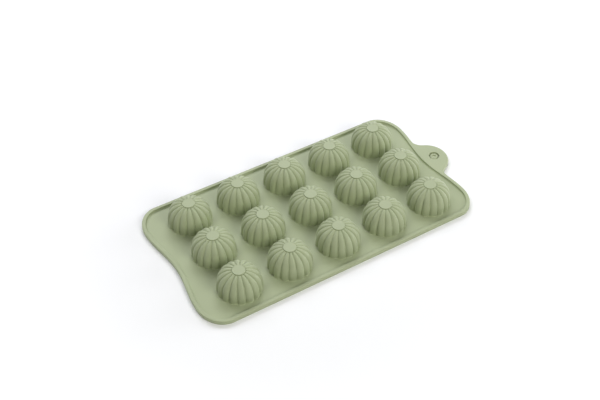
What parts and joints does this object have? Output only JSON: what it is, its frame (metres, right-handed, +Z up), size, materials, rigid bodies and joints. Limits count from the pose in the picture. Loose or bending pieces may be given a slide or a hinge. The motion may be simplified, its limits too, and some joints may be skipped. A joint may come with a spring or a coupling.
{
  "type": "silicone chocolate mould",
  "caption": "Flexible silicone sheet with rows of hollow fluted dome cups, a raised lip round its waisted edge, and a hanging tab with a stepped recess.",
  "frame": {"origin": "under the middle of the whole length and width, on the flat fill face that lies on the table", "axes": "+X along the length towards the hanging tab, +Y across the rows towards the back row, +Z up towards the cups' crowns"},
  "size_m": [0.2144, 0.1108, 0.0172],
  "materials": {
    "silicone": "matte sage green silicone with a faint satin sheen"
  },
  "bodies": {
    "root": {"base_sheet": "silicone", "rim_lip": "silicone", "hang_tab": "silicone", "cup_front_1": "silicone", "cup_front_2": "silicone", "cup_front_3": "silicone", "cup_front_4": "silicone", "cup_front_5": "silicone", "cup_middle_1": "silicone", "cup_middle_2": "silicone", "cup_middle_3": "silicone", "cup_middle_4": "silicone", "cup_middle_5": "silicone", "cup_back_1": "silicone", "cup_back_2": "silicone", "cup_back_3": "silicone", "cup_back_4": "silicone", "cup_back_5": "silicone"}
  },
  "joints": []
}
